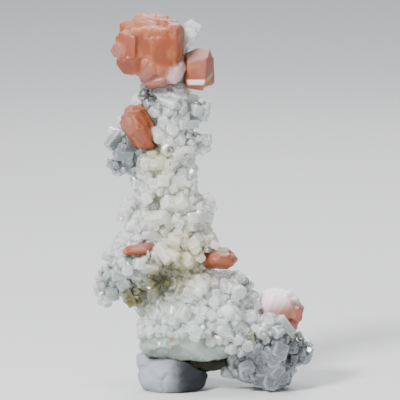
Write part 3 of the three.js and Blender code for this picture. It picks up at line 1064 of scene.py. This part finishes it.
class PuttySettings(bpy.types.PropertyGroup):
    voxel: length_prop("Detail", "Size of the facets", 0.7 * MM)
    crease_depth: length_prop("Crease depth", "Depth of the pressed creases", 1.5 * MM)
    crease_width: length_prop("Crease width", "Half width of the pressed creases", 0.7 * MM)
    # The white is the putty's own colour; the grey is painted shadow on its right side.
    white_colour: colour_prop("White", "Colour of the lit left side", (0.36, 0.38, 0.41))
    shadow_grey_colour: colour_prop("Grey", "Colour of the shaded right side", (0.02, 0.022, 0.026))


VIEW_MIDDLE = (-0.0015, 0.0, 0.0800)


class StageSettings(bpy.types.PropertyGroup):
    floor_colour: colour_prop("Floor", "Colour of the floor", (0.72, 0.72, 0.73))
    elevation: angle_prop("Elevation", "How far the camera looks down", 8)
    view_width: length_prop("View width", "Width of the view at the specimen", 166.6 * MM)
    view_distance: length_prop("View distance", "From the camera to the specimen", 1.6)
    view_middle: bpy.props.FloatVectorProperty(
        name="View middle", description="What the camera looks at", default=VIEW_MIDDLE, unit="LENGTH"
    )


SETTINGS = {
    "mineral_crust": CrustSettings,
    "mineral_stilbite": StilbiteSettings,
    "mineral_matrix": MatrixSettings,
    "mineral_putty": PuttySettings,
    "mineral_stage": StageSettings,
}


# ---- Operators ----


class MINERAL_OT_stilbites(bpy.types.Operator):
    """Build the stilbite sheaves"""

    bl_idname = "mineral.stilbites"
    bl_label = "Stilbites"

    def execute(self, context):
        settings = context.scene.mineral_stilbite
        tree = sheaf_tree()
        salmon = stilbite_material("salmon_stilbite", settings, 0.0)
        pale = stilbite_material("pale_stilbite", settings, PALER)
        for node, sheaves in STILBITES.items():
            slot, material = ("pale_stilbite", pale) if node in PALE_STILBITES else ("stilbite", salmon)
            pieces = sheaf_pieces(node, sheaves, tree, material)
            if node in BLOCKS:
                pieces.append(BLOCKS[node](node))
            fill = settings.fill * FILLED_MORE.get(node, 1.0)
            blur = BLOCK_BLUR if node in BLOCKS else settings.blur
            piece = softened(united(f"{node}_look", pieces), settings.voxel, settings.smoothing, fill, blur)
            finished(piece, material, slot, node)
        return {"FINISHED"}


def kept_inside(mesh):
    """Wears flat what would reach past the part's box."""
    low, high = CAD_BOX
    for vertex in mesh.vertices:
        vertex.co = [min(max(value, least), most) for value, least, most in zip(vertex.co, low, high)]
    mesh.update()


def smooth_core(mesh):
    """Shades the core smoothly and leaves the crystals' faces flat."""
    tints = mesh.attributes["tint"].data
    for polygon in mesh.polygons:
        polygon.use_smooth = tints[polygon.loop_start].value == 0.0


# Where the core swells or sinks before the crystals grow: where in millimetres, how far round and how much.
SWELLINGS = (
    ((1, 0, 150), 11, -6.6), ((-2, 0, 158), 6, -3.0), ((2, 0, 118), 10, -8.0),
    ((3, 0, 102), 9, -8.0), ((6, 0, 76), 9, -6.0), ((9, 0, 64), 7, -1.0),
    ((22, -1, 48), 9, -7.4), ((12, -2, 48), 6, 2.0), ((46, -2, 16), 12, -7.5),
    ((-45, 0, 51), 11, -5.4), ((-47, 0, 38), 9, -4.2), ((-38, 0, 34), 8, -1.6),
    ((-40, 0, 66), 7, -3.0), ((-41, 0, 105), 10, -4.4), ((-31, 0, 87), 6, -2.6),
    ((-34, 0, 73), 6, -1.4), ((-29, -2, 124), 7, -3.0), ((-31, 0, 27), 9, -4.6),
    ((14, -2, 2), 9, -1.6), ((39, -4, 3), 7, -1.0), ((41, -4, 9), 6, 2.4),
    ((-27, -4, 18), 7, 2.6), ((-37, -2, 116), 7, 5.0), ((-37, -3, 99), 6, 2.0),
    ((-3, -6, 111), 6, 2.8), ((-33, -3, 93), 6, 2.4), ((-31, -3, 79), 6, 2.6),
    ((-36, -2, 60), 6, 1.6), ((5, -4, 70), 6, 3.0), ((6, -7, 59), 6, -3.0),
    ((29, -8, 27), 7, 3.0), ((-16, -14, 46), 9, -6.0), ((-27, -8, 37), 8, -3.0),
)
SWELLING_SQUEEZE = 0.6  # how far depth counts in the distance from a swelling's middle
LUMPS = (13, 2.8)  # width and height of the crust's clumps in millimetres
CALM = 12  # the clumps grow from half of this height in millimetres to one and a half times it


def swollen(place, normal):
    """How far a place on the core moves, which is less near the floor so that the toe still rests on it."""
    width, height = LUMPS
    calm = max(0.0, min(1.0, place.z / (CALM * MM) - 0.5))
    step = noise.noise(place / (width * MM)) * height * MM * calm
    for centre, radius, height in SWELLINGS:
        offset = place - Vector(centre) * MM
        offset.y *= SWELLING_SQUEEZE
        distance = offset.length / (radius * MM)
        step += height * MM * max(0.0, 1.0 - distance * distance)
    return normal * step


class MINERAL_OT_crust(bpy.types.Operator):
    """Grow the apophyllite crust"""

    bl_idname = "mineral.crust"
    bl_label = "Apophyllite crust"

    def execute(self, context):
        settings = context.scene.mineral_crust
        crust = moved(melted(merged_copy(CRUST), settings.voxel, 4), swollen)
        shapes = crystal_collection()
        others = joined_copy([f"{node}_look" for node in STILBITES], "kept_clear")
        material = apophyllite_material(settings)
        labels = (*CRUST_VALUES, "Seed")
        values = {label: getattr(settings, label.lower().replace(" ", "_")) for label in labels}
        values.update({"Shapes": shapes, "Keep Clear Of": others, "Material": material})
        shaped_by(crust, crust_tree(), values)
        dropped(others, *shapes.objects)
        bpy.data.collections.remove(shapes)
        kept_inside(crust.data)
        smooth_core(crust.data)
        finished(crust, material, "apophyllite", CRUST)
        return {"FINISHED"}


ROCK_GRAIN = 3  # width of the rock's grains in millimetres
ROCK_SUNK = 0.6  # how far the relief lies below the solid's surface, in heights of the relief


class MINERAL_OT_matrix(bpy.types.Operator):
    """Build the matrix rock"""

    bl_idname = "mineral.matrix"
    bl_label = "Matrix rock"

    def execute(self, context):
        settings = context.scene.mineral_matrix
        rock = melted(merged_copy(MATRIX), settings.voxel, 2)

        def relief(place, normal):
            height = noise.fractal(place / (ROCK_GRAIN * MM), 0.8, 2.0, 4)
            return normal * settings.relief * (height - ROCK_SUNK)

        moved(rock, relief)
        finished(rock, matrix_material(settings), "matrix", MATRIX)
        return {"FINISHED"}


# The creases on the putty's front, as lines between points across and up.
PUTTY_CREASES = (
    ((-22.0, 9.0), (-17.5, 5.0)),
    ((-17.5, 5.0), (-15.5, 8.5)),
    ((-17.5, 5.0), (-16.5, 1.0)),
)
PUTTY_LUMPS = (5, 0.35)  # width and height of the kneaded relief in millimetres
PUTTY_SOLE = 0.6  # height in millimetres under which the putty keeps the solid's flat sole


def segment_distance(point, start, end):
    line = end - start
    share = max(0.0, min(1.0, (point - start).dot(line) / line.dot(line)))
    return (point - start - line * share).length


class MINERAL_OT_putty(bpy.types.Operator):
    """Build the mounting putty"""

    bl_idname = "mineral.putty"
    bl_label = "Mounting putty"

    def execute(self, context):
        settings = context.scene.mineral_putty
        putty = melted(merged_copy(PUTTY), settings.voxel, 8)
        creases = [[Vector(point) * MM for point in line] for line in PUTTY_CREASES]
        width, height = PUTTY_LUMPS

        def press(place, normal):
            across_up = Vector((place.x, place.z))
            distance = min(segment_distance(across_up, *line) for line in creases)
            front = max(0.0, -normal.y)
            depth = settings.crease_depth * front * math.exp(-((distance / settings.crease_width) ** 2))
            lumps = noise.noise(place / (width * MM)) * height * MM
            return normal * (lumps - depth) * (0.0 if place.z < PUTTY_SOLE * MM else 1.0)

        moved(putty, press)
        kept_inside(putty.data)
        finished(smoothly_shaded(putty), putty_material(settings), "putty", PUTTY)
        return {"FINISHED"}


FLOOR_RADIUS = 6.0
FARTHEST = 20.0  # how far the camera sees
SKY_COLOUR = (0.9, 0.95, 1.0, 1.0)
SKY_STRENGTH = 0.4
LIGHTS = {
    # name: place, size and watts
    "key": ((-0.55, -0.75, 0.85), 0.25, 25.0),
    "front": ((0.10, -1.25, 0.45), 0.90, 2.4),
    "fill": ((0.85, -0.45, 0.35), 0.60, 1.2),
    "rim": ((0.25, 0.75, 0.80), 0.50, 5.0),
    "top": ((-0.1, -0.1, 1.1), 0.40, 5.0),
    "backdrop": ((0.0, 1.7, 1.4), 1.5, 14.0),
}


def area_light(name, place, size, power, target):
    data = bpy.data.lights.new(name, "AREA")
    data.size = size
    data.energy = power
    lamp = new_object(name, data)
    lamp.location = place
    lamp.rotation_euler = (target - lamp.location).to_track_quat("-Z", "Y").to_euler()


class MINERAL_OT_stage(bpy.types.Operator):
    """Set the floor, the lights and the camera"""

    bl_idname = "mineral.stage"
    bl_label = "Stage"

    def execute(self, context):
        settings = context.scene.mineral_stage
        bpy.ops.mesh.primitive_circle_add(vertices=96, radius=FLOOR_RADIUS, fill_type="NGON")
        floor = context.object
        floor.name = "studio_floor"
        floor.data.materials.append(floor_material(settings))

        middle = Vector(settings.view_middle)
        for name, (place, size, power) in LIGHTS.items():
            area_light(name, place, size, power, middle)
        world = bpy.data.worlds.new("studio")
        world.use_nodes = True
        sky = world.node_tree.nodes["Background"].inputs
        sky["Color"].default_value = SKY_COLOUR
        sky["Strength"].default_value = SKY_STRENGTH
        context.scene.world = world

        camera = new_object("camera", bpy.data.cameras.new("camera"))
        away = Vector((0.0, -math.cos(settings.elevation), math.sin(settings.elevation)))
        camera.location = middle + away * settings.view_distance
        camera.rotation_euler = (-away).to_track_quat("-Z", "Y").to_euler()
        camera.data.lens = camera.data.sensor_width * settings.view_distance / settings.view_width
        camera.data.clip_end = FARTHEST
        context.scene.camera = camera
        return {"FINISHED"}


class MINERAL_PT_cluster(bpy.types.Panel):
    """The cluster's pieces and settings"""

    bl_idname = "MINERAL_PT_cluster"
    bl_label = "Apophyllite Cluster"
    bl_space_type = "VIEW_3D"
    bl_region_type = "UI"
    bl_category = "Mineral"

    def draw(self, context):
        for label, settings in SETTINGS.items():
            box = self.layout.box()
            for name in settings.__annotations__:
                box.prop(getattr(context.scene, label), name)
        for operator in OPERATORS:
            self.layout.operator(operator.bl_idname)


OPERATORS = (
    MINERAL_OT_stilbites,
    MINERAL_OT_crust,
    MINERAL_OT_matrix,
    MINERAL_OT_putty,
    MINERAL_OT_stage,
)
CLASSES = (*SETTINGS.values(), *OPERATORS, MINERAL_PT_cluster)


def register():
    for cls in CLASSES:
        bpy.utils.register_class(cls)
    for label, settings in SETTINGS.items():
        setattr(bpy.types.Scene, label, bpy.props.PointerProperty(type=settings))


def unregister():
    for label in SETTINGS:
        delattr(bpy.types.Scene, label)
    for cls in reversed(CLASSES):
        bpy.utils.unregister_class(cls)


def main():
    register()
    bpy.ops.mineral.stilbites()
    bpy.ops.mineral.crust()
    bpy.ops.mineral.matrix()
    bpy.ops.mineral.putty()
    bpy.ops.mineral.stage()


if __name__ == "__main__":
    main()
